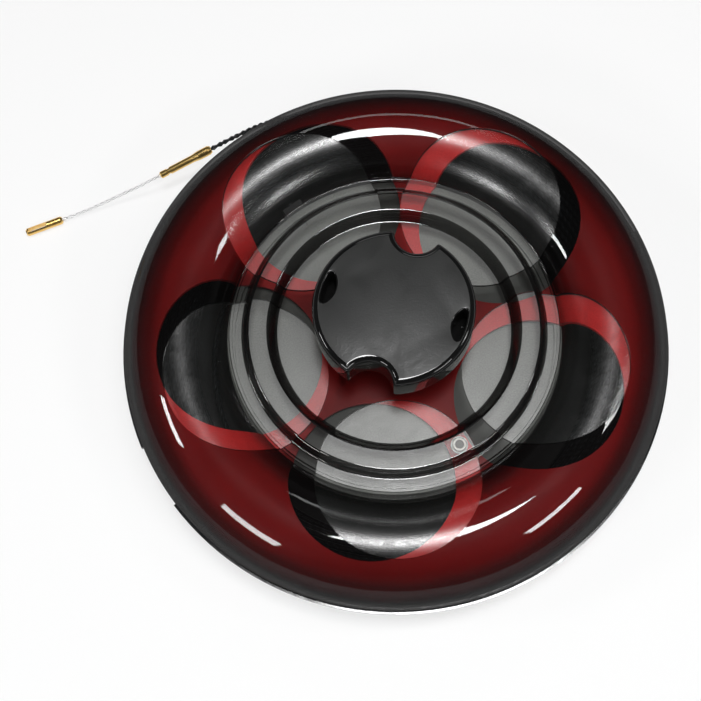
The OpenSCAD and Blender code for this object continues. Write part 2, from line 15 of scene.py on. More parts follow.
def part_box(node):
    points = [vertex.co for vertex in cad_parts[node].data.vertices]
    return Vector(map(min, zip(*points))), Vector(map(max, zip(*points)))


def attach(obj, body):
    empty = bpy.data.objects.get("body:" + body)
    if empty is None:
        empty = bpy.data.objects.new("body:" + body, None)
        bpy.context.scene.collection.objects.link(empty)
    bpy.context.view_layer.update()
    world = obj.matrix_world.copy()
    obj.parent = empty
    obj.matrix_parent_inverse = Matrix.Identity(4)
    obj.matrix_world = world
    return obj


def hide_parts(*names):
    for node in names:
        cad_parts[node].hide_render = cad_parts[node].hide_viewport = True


bl_info = {
    "name": "Draw-in tape reel",
    "version": (1, 0, 0),
    "blender": (4, 5, 0),
    "location": "View3D > Sidebar > Reel",
    "description": "Builds the pieces, finishes and stage of a draw-in tape reel",
    "category": "Object",
}

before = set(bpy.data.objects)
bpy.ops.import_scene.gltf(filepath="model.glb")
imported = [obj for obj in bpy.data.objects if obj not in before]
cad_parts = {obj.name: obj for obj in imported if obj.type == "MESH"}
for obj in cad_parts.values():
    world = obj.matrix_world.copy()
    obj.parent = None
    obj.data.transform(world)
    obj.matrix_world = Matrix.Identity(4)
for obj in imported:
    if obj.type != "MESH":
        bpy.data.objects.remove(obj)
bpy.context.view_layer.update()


def metres(points):
    """Points in millimetres as vectors in metres."""
    return [Vector(point) / 1000 for point in points]


UP = Vector((0, 0, 1))
MID_Z = 0.031
TUBE_PITCH_R = 0.118
TUBE_R = 0.032
WALL = 0.0022
PAD_DEPTH = 0.0008
TUBE_RADII = (TUBE_R, TUBE_R - PAD_DEPTH, TUBE_R - WALL)
HUB_HOLE_R = 0.0181
PAD_SKIN_GAP = 0.00003
PLUG_HOLE_R = 0.0036

# Radius and height of the corners of the hub's steps, from the dish outwards. The steps slope at 60 degrees.
HUB_CORNERS = ((0.06418, 0.0446), (0.06776, 0.0508), (0.08006, 0.0508), (0.08283, 0.046))
LEDGE_Z = 0.046
STEP_SHIFT = math.tan(math.radians(30))
GROOVE_RADII = (0.08833, 0.08993)
GROOVE_Z = 0.045
HUB_END_R = 0.09016
FILLET_R = 0.0016
FILLET_STEPS = 6
SHELL_STEPS = 240
DRUM_RADII = (0.0278, 0.0258)
PAD_COUNT = 5
PAD_START = math.radians(48.7)
PAD_PITCH_R = 0.0834
PAD_R = 0.0435

# How far a face's normal points up when the face is level, and when it counts as an underside.
LEVEL_Z = 0.999
UNDERSIDE_Z = -0.02

# The tape and the leader follow the same points as their CAD nodes, in millimetres.
TAPE_ROUTE = metres((
    (93, 111, 23), (77, 123, 23), (59, 132.5, 23), (40, 139.3, 23), (25.2, 142.7, 23), (12.6, 144.4, 23),
    (2.6, 145.2, 23), (-7.4, 146.1, 23), (-17.3, 147, 23), (-27.3, 147.9, 23), (-35, 148.2, 23),
    (-42, 148.1, 23), (-50, 147.5, 22.9), (-57, 146.3, 22.8), (-64, 144.6, 22.7), (-71.5, 142.2, 22.4),
    (-83, 138.1, 21.6), (-94, 134, 20.5),
))
GUIDE_MOUTH = 9
LEADER_ROUTE = metres((
    (-126, 123.5, 14.5), (-130, 122.4, 13.5), (-134, 121.3, 12.4), (-138, 120.3, 11.2), (-142, 119.4, 9.9),
    (-146, 118.5, 8.8), (-150, 117.6, 7.8), (-154, 116.6, 6.8), (-158, 115.6, 6), (-162, 114.5, 5.2),
    (-166, 113.4, 4.5), (-170, 112.3, 3.9), (-174, 111.3, 3.4), (-178, 110.3, 3), (-182, 109.3, 2.8),
    (-186, 108.3, 2.6), (-189, 107.5, 2.6),
))
EYE_END = Vector((-0.211, 0.1015, 0.0026))

# How thick a strand is as a share of its cord, and the angle in degrees over which a cord's edge is sharp.
TAPE_STRAND_SHARE = 0.5
LEADER_WIRES = 2
LEADER_WIRE_SHARE = 0.34
STRAND_SIDES = 8
CORD_EDGE = 60.0

# The middle of the wound bundle, the radius that its outer layer has about it, and the tape's anchor.
BUNDLE_R = 0.12495
BUNDLE_Z = MID_Z - 0.008
LAYER_R = 0.013303
ANCHOR_R = 0.0952
ANCHOR_Z = MID_Z - 0.002
ANCHOR_ANGLE = math.radians(120)
TAIL_TURNS = 0.5
TURN_STEPS = 72

# How much the front's surfaces hide, and how glossy they are, from seen head on at 0 to seen edge on at 1.
SMOKE_HIDING = ((0.0, 0.48), (0.4, 0.5), (0.55, 0.56), (0.65, 0.72), (0.8, 0.92))
SMOKE_GLOSS = ((0.0, 1.0), (0.15, 1.0), (0.25, 0.5), (0.4, 0.3), (0.58, 0.35), (0.72, 0.15), (1.0, 0.04))
INSIDE_HIDING = ((0.0, 0.12), (0.14, 0.2), (0.25, 0.55), (0.45, 0.75), (0.6, 0.88), (0.75, 0.95))
FLAT_HIDING = ((0.0, 0.5),)
FLAT_GLOSS = ((0.0, 0.1),)
# The steps' walls and fillets and the pads' rims hide nearly all that is behind them, far more than the rest
# of the smoke: painted shade that draws them as dark lines.
STEP_SHADE_HIDING = ((0.0, 0.84), (0.3, 0.87), (0.5, 0.94), (0.65, 0.97))
STEP_GLOSS = ((0.0, 1.0),)
PAD_INSIDE_HIDING = ((0.0, 0.05), (0.35, 0.15), (0.65, 0.8))
NO_GLOSS = ((0.0, 0.0),)
SMOKE_COLOURS = ((0.003, 0.003, 0.003), (0.006, 0.005, 0.005))

# Name, place, width, length and power of each studio lamp. All face the middle of the reel, and the soft key
# lamp is too diffuse to be mirrored in the gloss.
LAMPS = (
    ("lamp_key", (0.12, -0.16, 0.95), 0.4, 0.3, 3.2),
    ("lamp_top", (0.225, 0.32, 6.0), 1.0, 1.5, 130.0),
    ("lamp_back", (0.12, 1.1, 1.25), 0.6, 0.12, 0.6),
    ("lamp_left", (-1.0, 0.03, 0.87), 0.26, 0.13, 2.0),
    ("lamp_front_left", (-0.85, -0.66, 0.78), 0.38, 0.2, 3.0),
    ("lamp_front_right", (0.71, -0.68, 0.88), 0.36, 0.13, 2.2),
    ("lamp_right", (0.66, -0.01, 0.99), 0.1, 0.17, 0.8),
)
UNMIRRORED_LAMP = "lamp_key"
LAMP_AIM = Vector((0, 0, 0.05))
FLOOR_HALF = 6.0
FLOOR_DROP = 0.0002
FLOOR_GLOW = 0.65


# Settings


def colour_setting(name, description, default):
    return FloatVectorProperty(
        name=name, description=description, subtype="COLOR", size=3, default=default, min=0, max=1)


def share_setting(name, description, default):
    return FloatProperty(name=name, description=description, subtype="FACTOR", default=default, min=0, max=1)


def length_setting(name, description, default, least, most):
    return FloatProperty(
        name=name, description=description, unit="LENGTH", default=default, min=least, max=most)


def angle_setting(name, description, degrees):
    return FloatProperty(name=name, description=description, subtype="ANGLE", default=math.radians(degrees))


class CaseSettings(bpy.types.PropertyGroup):
    frost: colour_setting("Frost", "Colour of the haze on the pads", (0.022, 0.024, 0.022))
    haze: share_setting("Haze", "How much the frost hides on the tube", 0.21)
    frost_roughness: share_setting("Frost roughness", "Roughness of the frost on the tube", 0.25)
    hub_frost: colour_setting("Hub frost", "Colour of the haze on the hub's rings", (0.02, 0.021, 0.019))
    hub_haze: share_setting("Hub haze", "How much the frost hides on the hub's rings", 0.18)
    hub_roughness: share_setting("Hub roughness", "Roughness of the frost on the hub's rings", 0.33)
    rear_black: colour_setting("Rear black", "Colour of the rear shell", (0.014, 0.014, 0.015))
    # The plug's pale rim colour is a painted highlight on its rounded edge.
    plug_rim_highlight: colour_setting("Plug ring", "Colour of the plug's rim", (0.62, 0.61, 0.58))
    plug_middle: colour_setting("Plug middle", "Colour of the plug's dished middle", (0.16, 0.16, 0.155))


class DrumSettings(bpy.types.PropertyGroup):
    red: colour_setting("Drum red", "Colour of the windowed front flange", (0.55, 0.017, 0.017))
    core_grey: colour_setting("Core grey", "Colour of the drum's core", (0.178, 0.186, 0.169))
    flange_black: colour_setting("Flange black", "Colour of the rear flange", (0.012, 0.012, 0.012))


class KnobSettings(bpy.types.PropertyGroup):
    radius: length_setting("Radius", "Radius of the cap", 0.0425, 0.03, 0.06)
    top: length_setting("Top", "Height of the cap's top", 0.082, 0.07, 0.09)
    cap_height: length_setting("Cap height", "Height of the cap", 0.018, 0.01, 0.03)
    notch_radius: length_setting("Notch radius", "Radius of a finger notch or pocket", 0.0124, 0.008, 0.02)
    notch_pitch: length_setting(
        "Notch pitch", "Distance of a notch's centre from the axis", 0.044, 0.04, 0.05)
    notch_start: angle_setting("Notch direction", "Direction of the first notch", 66.5)
    pocket_floor: length_setting("Pocket floor", "Thickness left under the pockets", 0.003, 0.001, 0.006)
    corner_round: length_setting("Corner rounding", "Rounding of the notches' corners", 0.0015, 0.0005, 0.004)
    edge_round: length_setting("Edge rounding", "Rounding of the top edge", 0.003, 0.0005, 0.004)
    neck_radius: length_setting("Neck radius", "Radius of the neck under the cap", 0.027, 0.02, 0.035)
    stem_radius: length_setting("Stem radius", "Radius of the stem", 0.014, 0.01, 0.02)
    black: colour_setting("Knob black", "Colour of the knob", (0.02, 0.0205, 0.02))
    # The smooth edges, notches, pockets and stem take a darker black than the grained top: painted shade.
    shaded_edge_black: colour_setting(
        "Edge black", "Colour of the knob's smooth edges, notches and stem", (0.006, 0.006, 0.006))


class TapeSettings(bpy.types.PropertyGroup):
    radius: length_setting("Tape radius", "Radius of the twisted tape", 0.0016, 0.001, 0.002)
    strands: IntProperty(name="Strands", description="Strands twisted into the tape", default=2, min=2, max=6)
    lay: length_setting("Lay", "Length of one twist of the tape", 0.0078, 0.006, 0.03)
    turns: IntProperty(
        name="Turns", description="Turns in the winding's outer layer", default=12, min=6, max=12)
    black: colour_setting("Tape black", "Colour of the tape", (0.006, 0.0068, 0.0075))
    leader_radius: length_setting("Leader radius", "Radius of the wire leader", 0.001, 0.0005, 0.001)
    leader_lay: length_setting("Leader lay", "Length of one twist of the leader", 0.008, 0.003, 0.012)
    leader_colour: colour_setting("Leader colour", "Colour of the leader's wires", (0.9, 0.9, 0.9))


class FittingSettings(bpy.types.PropertyGroup):
    brass: colour_setting("Brass", "Colour of the fittings", (1.0, 0.72, 0.28))
    brass_dull: colour_setting("Dull brass", "Colour of the fittings where handled", (0.82, 0.5, 0.14))
    steel: colour_setting("Steel", "Colour of the plated steel", (0.6, 0.6, 0.62))
    bearing: colour_setting("Bearing plastic", "Colour of the bushes", (0.62, 0.6, 0.52))


class StageSettings(bpy.types.PropertyGroup):
    target: FloatVectorProperty(
        name="Target", description="Point that the camera looks at", subtype="XYZ", size=3,
        default=(-0.02475, -0.00504, 0.031))
    elevation: angle_setting("Elevation", "Camera's angle above the floor", 72.15)
    roll: angle_setting("Roll", "Camera's roll", -6.5)
    distance: length_setting("Distance", "Camera's distance from its target", 0.6651, 0.2, 5.0)
    lens: FloatProperty(name="Lens", description="Focal length in millimetres", default=61.63)
    floor: colour_setting("Floor", "Colour of the floor", (0.93, 0.93, 0.93))
    lamp_level: FloatProperty(
        name="Lamp level", description="Factor on every lamp's power", default=1.0, min=0, max=4)


class ReelSettings(bpy.types.PropertyGroup):
    case: PointerProperty(type=CaseSettings, name="Case", description="Finishes of the case")
    drum: PointerProperty(type=DrumSettings, name="Drum", description="Finishes of the drum")
    knob: PointerProperty(type=KnobSettings, name="Knob", description="Sizes and finish of the knob")
    tape: PointerProperty(type=TapeSettings, name="Tape", description="Sizes and finish of the tape")
    fittings: PointerProperty(type=FittingSettings, name="Fittings", description="Finishes of the metal")
    stage: PointerProperty(type=StageSettings, name="Stage", description="Camera, floor and lamps")


# Shader nodes


def feed(tree, entry, value):
    """Links an input to a socket, or sets it to a plain value."""
    if isinstance(value, bpy.types.NodeSocket):
        tree.links.new(value, entry)
    else:
        entry.default_value = value


def node_of(tree, kind, **values):
    """Adds a shader node, and sets its attributes or feeds its inputs by name."""
    node = tree.nodes.new("ShaderNode" + kind)
    for name, value in values.items():
        if hasattr(node, name):
            setattr(node, name, value)
        else:
            feed(tree, node.inputs[name.replace("_", " ")], value)
    return node


def maths(tree, operation, *values):
    """The result of a calculation with one or two values or sockets."""
    node = node_of(tree, "Math", operation=operation)
    for entry, value in zip(node.inputs, values):
        feed(tree, entry, value)
    return node.outputs[0]


def new_group(name, place, number, outputs):
    """An empty shader node group that takes a place and a number and puts out values, and its sockets."""
    group = bpy.data.node_groups.new(name, "ShaderNodeTree")
    group.interface.new_socket(place, in_out="INPUT", socket_type="NodeSocketVector")
    group.interface.new_socket(number, in_out="INPUT", socket_type="NodeSocketFloat")
    for label in outputs:
        group.interface.new_socket(label, in_out="OUTPUT", socket_type="NodeSocketFloat")
    return group, group.nodes.new("NodeGroupInput").outputs, group.nodes.new("NodeGroupOutput").inputs


def moulded_group():
    """Grain, handling marks and a slow change of tone, as on moulded plastic."""
    name = "Moulded surface"
    if name in bpy.data.node_groups:
        return bpy.data.node_groups[name]
    group, start, end = new_group(name, "Vector", "Grain Scale", ("Grain", "Marks", "Tone"))
    noises = {
        "Grain": {"Scale": start["Grain Scale"], "Detail": 3.0, "Roughness": 0.6},
        "Marks": {"Scale": 55.0, "Detail": 6.0, "Roughness": 0.7, "Distortion": 1.5},
        "Tone": {"Scale": 14.0, "Detail": 2.0},
    }
    for label, values in noises.items():
        noise = node_of(group, "TexNoise", Vector=start["Vector"], **values)
        group.links.new(noise.outputs["Fac"], end[label])
    return group


def twist_group():
    """The strands of a twisted tape on a smooth tube whose UV runs along it in lays and around it once."""
    name = "Strand twist"
    if name in bpy.data.node_groups:
        return bpy.data.node_groups[name]
    group, start, end = new_group(name, "UV", "Strands", ("Height", "Crown"))
    place = node_of(group, "SeparateXYZ", Vector=start["UV"]).outputs
    around = maths(group, "MULTIPLY", place["Y"], start["Strands"])
    along = maths(group, "MULTIPLY", place["X"], start["Strands"])
    share = maths(group, "FRACT", maths(group, "ADD", around, along))
    centred = node_of(group, "MapRange", Value=share, To_Min=-1.0, To_Max=1.0).outputs[0]
    height = maths(group, "SUBTRACT", 1.0, maths(group, "MULTIPLY", centred, centred))
    group.links.new(height, end["Height"])
    group.links.new(maths(group, "SQRT", height), end["Crown"])
    return group


def new_material(name):
    """An empty material and its node tree."""
    material = bpy.data.materials.new(name)
    material.use_nodes = True
    material.node_tree.nodes.clear()
    return material, material.node_tree


def finished(material, shader):
    """Gives a material its shader."""
    node_of(material.node_tree, "OutputMaterial", Surface=shader.outputs[0])
    return material


def principled(material, **values):
    """Gives a material a Principled shader."""
    return finished(material, node_of(material.node_tree, "BsdfPrincipled", **values))


def moulded_nodes(tree, grain_scale):
    """The outputs of a moulded surface on the piece's own coordinates."""
    place = node_of(tree, "TexCoord").outputs["Object"]
    moulded = node_of(
        tree, "Group", node_tree=moulded_group(), Vector=place, Grain_Scale=grain_scale)
    return moulded.outputs


def ranged(tree, socket, low, high):
    """Spreads the middle of a noise's values over a range."""
    spread = node_of(
        tree, "MapRange", Value=socket, From_Min=0.3, From_Max=0.7, To_Min=low, To_Max=high)
    return spread.outputs[0]


def mixed(tree, socket, first, second):
    """Mixes two colours by a value."""
    mix = node_of(tree, "Mix", data_type="RGBA", Factor=socket, A=(*first, 1), B=(*second, 1))
    return mix.outputs["Result"]


def bumped(tree, height, strength, depth):
    """The normal of a surface that a height in metres is bumped by."""
    bump = node_of(tree, "Bump", Strength=strength, Distance=depth, Height=height)
    return bump.outputs["Normal"]


def scaled(colour, factor):
    return tuple(min(1.0, channel * factor) for channel in colour)


def toned(tree, moulded, colour, spread):
    """A colour that drifts lighter and darker over a moulded surface."""
    tone = ranged(tree, moulded["Tone"], 0.0, 1.0)
    return mixed(tree, tone, scaled(colour, 1 - spread), scaled(colour, 1 + spread))


def plastic(
        name, colour, roughness, grain_scale=1800.0, grain_depth=0.00002, spread=0.08, metallic=0.0,
        gloss=0.5):
    """Moulded plastic, or with metallic at 1 a plated metal, with grain, handling marks and uneven tone."""
    material, tree = new_material(name)
    moulded = moulded_nodes(tree, grain_scale)
    return principled(
        material, Metallic=metallic, Specular_IOR_Level=gloss,
        Base_Color=toned(tree, moulded, colour, 0.12),
        Roughness=ranged(tree, moulded["Marks"], max(0.02, roughness - spread), roughness + spread),
        Normal=bumped(tree, moulded["Grain"], 0.6, grain_depth))


def steel_material(name, fittings):
    return plastic(
        name, fittings.steel, 0.3, grain_scale=2000.0, grain_depth=0.00001, spread=0.1, metallic=1.0)


def by_slant(tree, slant, stops):
    """A value that follows how edge on the surface is seen, or a plain value where there is one stop."""
    if len(stops) == 1:
        return stops[0][1]
    ramp = node_of(tree, "ValToRGB", Fac=slant)
    elements = ramp.color_ramp.elements
    while len(elements) < len(stops):
        elements.new(0.5)
    for element, (position, value) in zip(elements, stops):
        element.position = position
        element.color = (value, value, value, 1)
    return ramp.outputs["Color"]


def smoke_material(name, hiding, gloss, roughness):
    """Smoke-tinted see-through plastic under a polish."""
    material, tree = new_material(name)
    moulded = moulded_nodes(tree, 900.0)
    slant = node_of(tree, "LayerWeight", Blend=0.5).outputs["Facing"]
    tone = ranged(tree, moulded["Tone"], 0.0, 1.0)
    return principled(
        material, Specular_IOR_Level=0.0, Coat_IOR=1.9, Coat_Roughness=roughness,
        Base_Color=mixed(tree, tone, *SMOKE_COLOURS),
        Roughness=ranged(tree, moulded["Marks"], 0.3, 0.5),
        Alpha=by_slant(tree, slant, hiding),
        Coat_Weight=by_slant(tree, slant, gloss))


def frost_material(name, colour, haze, roughness, grain_scale, grain_depth):
    """A frosted pad: clearer than the smoke tint, with a little haze and a broad, grainy sheen."""
    material, tree = new_material(name)
    moulded = moulded_nodes(tree, grain_scale)
    return principled(
        material, IOR=2.5, Specular_IOR_Level=1.0,
        Base_Color=toned(tree, moulded, colour, 0.15),
        Roughness=ranged(tree, moulded["Marks"], roughness - 0.05, roughness + 0.05),
        Alpha=ranged(tree, moulded["Grain"], haze * 0.4, haze * 1.6),
        Normal=bumped(tree, moulded["Grain"], 1.0, grain_depth))


def twisted_material(name, colour, strands, roughness):
    """Twisted tape on a smooth tube, with painted shade darkening the strands' valleys."""
    material, tree = new_material(name)
    place = node_of(tree, "UVMap").outputs["UV"]
    twist = node_of(tree, "Group", node_tree=twist_group(), UV=place, Strands=strands).outputs
    return principled(
        material, Roughness=roughness, Specular_IOR_Level=0.04,
        # The base colour falls to 0.3 of the tape's colour in the valleys between strands: painted shade.
        Base_Color=mixed(tree, twist["Height"], scaled(colour, 0.3), colour),
        Normal=bumped(tree, twist["Crown"], 1.0, 0.0006))


def turned_material(name, fittings, way):
    """Turned brass: fine rings about the fitting's axis, brighter where it is rubbed."""
    material, tree = new_material(name)
    moulded = moulded_nodes(tree, 900.0)
    place = node_of(tree, "TexCoord").outputs["Object"]
    rotation = way.rotation_difference(Vector((1, 0, 0))).to_euler()
    turned = node_of(tree, "Mapping", Vector=place, Rotation=rotation).outputs["Vector"]
    rings = node_of(tree, "TexWave", Vector=turned, Scale=700.0, Distortion=0.4, Detail=1.0)
    worn = ranged(tree, moulded["Marks"], 0.0, 1.0)
    return principled(
        material, Metallic=1.0,
        Base_Color=mixed(tree, worn, fittings.brass, fittings.brass_dull),
        Roughness=ranged(tree, moulded["Marks"], 0.25, 0.36),
        Normal=bumped(tree, rings.outputs["Fac"], 0.2, 0.00003))


# Meshes


def object_of(bm, name):
    """Makes an object of a bmesh."""
    mesh = bpy.data.meshes.new(name)
    bm.to_mesh(mesh)
    bm.free()
    made = bpy.data.objects.new(name, mesh)
    bpy.context.scene.collection.objects.link(made)
    return made


def add_piece(bm, name, materials, body, replaced, sharp=35.0):
    """Makes a piece of a bmesh, shades it smooth with sharp edges, and hangs it on a CAD body."""
    piece = object_of(bm, name)
    mesh = piece.data
    mesh.polygons.foreach_set("use_smooth", [True] * len(mesh.polygons))
    mesh.set_sharp_from_angle(angle=math.radians(sharp))
    for material in materials:
        mesh.materials.append(material)
    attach(piece, body)
    if replaced:
        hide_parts(*replaced)
    return piece


def finish_node(node, material):
    """Gives a CAD node that keeps its shape a better material."""
    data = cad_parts[node].data
    data.materials.clear()
    data.materials.append(material)


def spun(profile, steps):
    """A bmesh of a profile of radius and height spun about Z, closed where it meets the axis."""
    bm = bmesh.new()
    verts = [bm.verts.new((radius, 0, height)) for radius, height in profile]
    edges = [bm.edges.new(pair) for pair in zip(verts, verts[1:])]
    bmesh.ops.spin(
        bm, geom=verts + edges, cent=(0, 0, 0), axis=UP, angle=math.tau, steps=steps, use_merge=True)
    bmesh.ops.remove_doubles(bm, verts=bm.verts, dist=1e-6)
    bmesh.ops.recalc_face_normals(bm, faces=bm.faces)
    return bm


def polar(radius, angle, height):
    return Vector((radius * math.cos(angle), radius * math.sin(angle), height))


def arc(centre, radius, start, end, steps):
    """Points of radius and height along an arc."""
    angles = [start + (end - start) * i / steps for i in range(steps + 1)]
    return [(centre[0] + radius * math.cos(a), centre[1] + radius * math.sin(a)) for a in angles]


def rounded(points, radius, steps):
    """An outline with an arc in place of each sharp corner, and a point on either side of it.

    Those points keep the flats beside the arc flat when the outline is shaded smooth.
    """
    least_turn = math.radians(20)
    room_share = 0.4
    guard_share = 0.2
    line = [points[0]]
    for before, corner, after in zip(points, points[1:], points[2:]):
        here = Vector(corner)
        back = (Vector(before) - here).normalized()
        ahead = (Vector(after) - here).normalized()
        turn = math.pi - back.angle(ahead)
        if turn < least_turn:
            line.append(corner)
            continue
        room = min((Vector(before) - here).length, (Vector(after) - here).length) * room_share
        tangent = min(radius * math.tan(turn / 2), room)
        bend = tangent / math.tan(turn / 2)
        guard = tangent * guard_share
        middle = here + (back + ahead).normalized() * (bend / math.cos(turn / 2))
        first = here + back * tangent
        start = (first - middle).to_3d()
        last = (here + ahead * tangent - middle).to_3d()
        sweep_angle = math.copysign(turn, start.cross(last).z)
        begin = math.atan2(start.y, start.x)
        line.append(tuple(first + back * guard))
        line.extend(arc(middle, bend, begin, begin + sweep_angle, steps))
        line.append(tuple(here + ahead * (tangent + guard)))
    return [*line, points[-1]]


def smooth_route(points, per_span):
    """A smooth line through the points."""
    route = []
    for i in range(len(points) - 1):
        before = points[max(i - 1, 0)]
        after = points[min(i + 2, len(points) - 1)]
        lead = (points[i + 1] - before) / 2
        trail = (after - points[i]) / 2
        for k in range(per_span):
            t = k / per_span
            route.append(
                points[i] * (2 * t**3 - 3 * t**2 + 1)
                + lead * (t**3 - 2 * t**2 + t)
                + points[i + 1] * (3 * t**2 - 2 * t**3)
                + trail * (t**3 - t**2)
            )
    return [*route, points[-1]]


def frames_along(route):
    """Point, sideways direction, upward direction and length so far at each point of a route."""
    length = 0.0
    for i, point in enumerate(route):
        along = (route[min(i + 1, len(route) - 1)] - route[max(i - 1, 0)]).normalized()
        side = along.cross(UP).normalized()
        if i:
            length += (point - route[i - 1]).length
        yield point, side, side.cross(along), length


def sweep(bm, route, radius, sides, lay, phase=0.0, offset=0.0):
    """Sweeps a closed tube along a route; offset winds it about the route once in each lay."""
    uv = bm.loops.layers.uv.verify()
    spokes = [math.tau * k / sides for k in range(sides)]
    rings = []
    lengths = []
    for point, side, up, length in frames_along(route):
        turn = math.tau * length / lay + phase
        centre = point + offset * (math.cos(turn) * side + math.sin(turn) * up)
        around = [centre + radius * (math.cos(a) * side + math.sin(a) * up) for a in spokes]
        rings.append([bm.verts.new(place) for place in around])
        lengths.append(length / lay)
    for i, (first, second) in enumerate(zip(rings, rings[1:])):
        for k in range(sides):
            after = (k + 1) % sides
            face = bm.faces.new((first[k], first[after], second[after], second[k]))
            corners = ((lengths[i], k), (lengths[i], k + 1), (lengths[i + 1], k + 1), (lengths[i + 1], k))
            for loop, (along, around) in zip(face.loops, corners):
                loop[uv].uv = (along, around / sides)
    bm.faces.new(list(reversed(rings[0])))
    bm.faces.new(rings[-1])


def twisted(route, radius, strands, lay, strand_share):
    """A bmesh of strands, each a share of the cord's radius thick, that wind about each other."""
    bm = bmesh.new()
    strand_radius = radius * strand_share
    for k in range(strands):
        phase = math.tau * k / strands
        sweep(bm, route, strand_radius, STRAND_SIDES, lay, phase, radius - strand_radius)
    bmesh.ops.recalc_face_normals(bm, faces=bm.faces)
    return bm


def turned_normal(point, flat, tube_radii):
    """The normal at a point of a shape turned about Z, from the normal of the flat face there.

    Off the tubes the shape has cones and planes whose slopes are whole steps of 30 degrees.
    """
    slack = 0.0002
    tube_match = 0.9
    slope_match = 0.98
    slope_step = math.pi / 6
    radial = Vector((point.x, point.y, 0))
    across = radial.length - TUBE_PITCH_R
    height = point.z - MID_Z
    from_tube = math.hypot(across, height)
    radial.normalize()
    tube = (radial * across + UP * height) / max(from_tube, 1e-9)
    on_tube = any(abs(from_tube - radius) < slack for radius in tube_radii)
    if on_tube and abs(tube.dot(flat)) > tube_match:
        return tube * math.copysign(1.0, tube.dot(flat))
    slope = round(math.atan2(flat.z, flat.dot(radial)) / slope_step) * slope_step
    turned = radial * math.cos(slope) + UP * math.sin(slope)
    return turned if turned.dot(flat) > slope_match else flat.copy()


def from_pad(point):
    """How far a point is, seen from above, from the middle of the nearest round pad."""
    step = math.tau / PAD_COUNT
    angle = math.atan2(point.y, point.x) - PAD_START
    angle -= round(angle / step) * step
    distance = math.hypot(point.x, point.y)
    return math.hypot(distance * math.cos(angle) - PAD_PITCH_R, distance * math.sin(angle))


def polished_copy(node, name, materials, body, tube_radii, choose):
    """A merged copy of a turned CAD node with true normals; choose gives each face's material."""
    bm = bmesh.new()
    bm.from_mesh(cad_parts[node].data)
    bmesh.ops.remove_doubles(bm, verts=bm.verts, dist=2e-6)
    for face in bm.faces:
        face.material_index = choose(face.calc_center_median(), face.normal)
    mesh = add_piece(bm, name, materials, body, (node,)).data
    normals = []
    for face in mesh.polygons:
        for index in face.vertices:
            normals.append(turned_normal(mesh.vertices[index].co, face.normal, tube_radii))
    mesh.normals_split_custom_set(normals)


# Operators


class ReelOperator(bpy.types.Operator):
    bl_options = {"REGISTER", "UNDO"}


class REEL_OT_stage(ReelOperator):
    """Make the camera, the pale floor, the studio lamps and the surrounding light"""

    bl_idname = "reel.stage"
    bl_label = "Stage"

    def execute(self, context):
        stage = context.scene.reel.stage
        self.add_camera(context, stage)
        self.add_floor(stage)
        self.add_lamps(context, stage)
        self.add_world(context)
        context.scene.view_settings.view_transform = "Standard"
        return {"FINISHED"}

    def add_camera(self, context, stage):
        camera = bpy.data.objects.new("camera", bpy.data.cameras.new("camera"))
        camera.data.lens = stage.lens
        camera.data.sensor_width = 36.0
        back = Vector((0, -math.cos(stage.elevation), math.sin(stage.elevation)))
        right = Vector((1, 0, 0))
        upward = back.cross(right)
        turn = Matrix((right, upward, back)).transposed() @ Matrix.Rotation(stage.roll, 3, "Z")
        place = Vector(stage.target) + back * stage.distance
        camera.matrix_world = Matrix.Translation(place) @ turn.to_4x4()
        context.scene.collection.objects.link(camera)
        context.scene.camera = camera

    def add_floor(self, stage):
        bm = bmesh.new()
        bmesh.ops.create_grid(bm, x_segments=1, y_segments=1, size=FLOOR_HALF)
        bmesh.ops.translate(bm, verts=bm.verts, vec=(0, 0, -FLOOR_DROP))
        floor = object_of(bm, "floor")
        floor.data.materials.append(self.floor_material(stage))

    def floor_material(self, stage):
        """White paint with a glow that only seen, mirrored and see-through rays meet, so the shadow stays."""
        material, tree = new_material("floor_white")
        path = node_of(tree, "LightPath").outputs
        seen = maths(tree, "MAXIMUM", path["Is Camera Ray"], path["Is Glossy Ray"])
        passed = maths(tree, "MAXIMUM", seen, path["Is Transmission Ray"])
        share = maths(tree, "MULTIPLY", passed, FLOOR_GLOW)
        paint = node_of(tree, "BsdfDiffuse", Color=(*stage.floor, 1))
        glow = node_of(tree, "Emission", Color=(1, 1, 1, 1), Strength=1.0)
        mix = node_of(tree, "MixShader")
        for entry, socket in zip(mix.inputs, (share, paint.outputs[0], glow.outputs[0])):
            tree.links.new(socket, entry)
        return finished(material, mix)

    def add_lamps(self, context, stage):
        for name, place, width, length, power in LAMPS:
            data = bpy.data.lights.new(name, "AREA")
            data.shape = "RECTANGLE"
            data.size = width
            data.size_y = length
            data.energy = power * stage.lamp_level
            lamp = bpy.data.objects.new(name, data)
            lamp.visible_glossy = name != UNMIRRORED_LAMP
            turn = (Vector(place) - LAMP_AIM).to_track_quat("Z", "Y")
            lamp.matrix_world = Matrix.Translation(place) @ turn.to_matrix().to_4x4()
            context.scene.collection.objects.link(lamp)

    def add_world(self, context):
        """A soft surround that is brightest at the horizon."""
        world = bpy.data.worlds.new("studio")
        context.scene.world = world
        world.use_nodes = True
        tree = world.node_tree
        tree.nodes.clear()
        place = node_of(tree, "TexCoord").outputs["Generated"]
        way = node_of(tree, "SeparateXYZ", Vector=place).outputs
        height = node_of(tree, "MapRange", Value=way["Z"], From_Max=0.6, To_Min=1.0, To_Max=0.12)
        near = node_of(tree, "MapRange", Value=way["Y"], From_Min=-1.0, To_Min=0.15, To_Max=0.12)
        level = maths(tree, "MULTIPLY", height.outputs[0], near.outputs[0])
        sky = node_of(tree, "Background", Color=level, Strength=1.0)
        node_of(tree, "OutputWorld", Surface=sky.outputs[0])


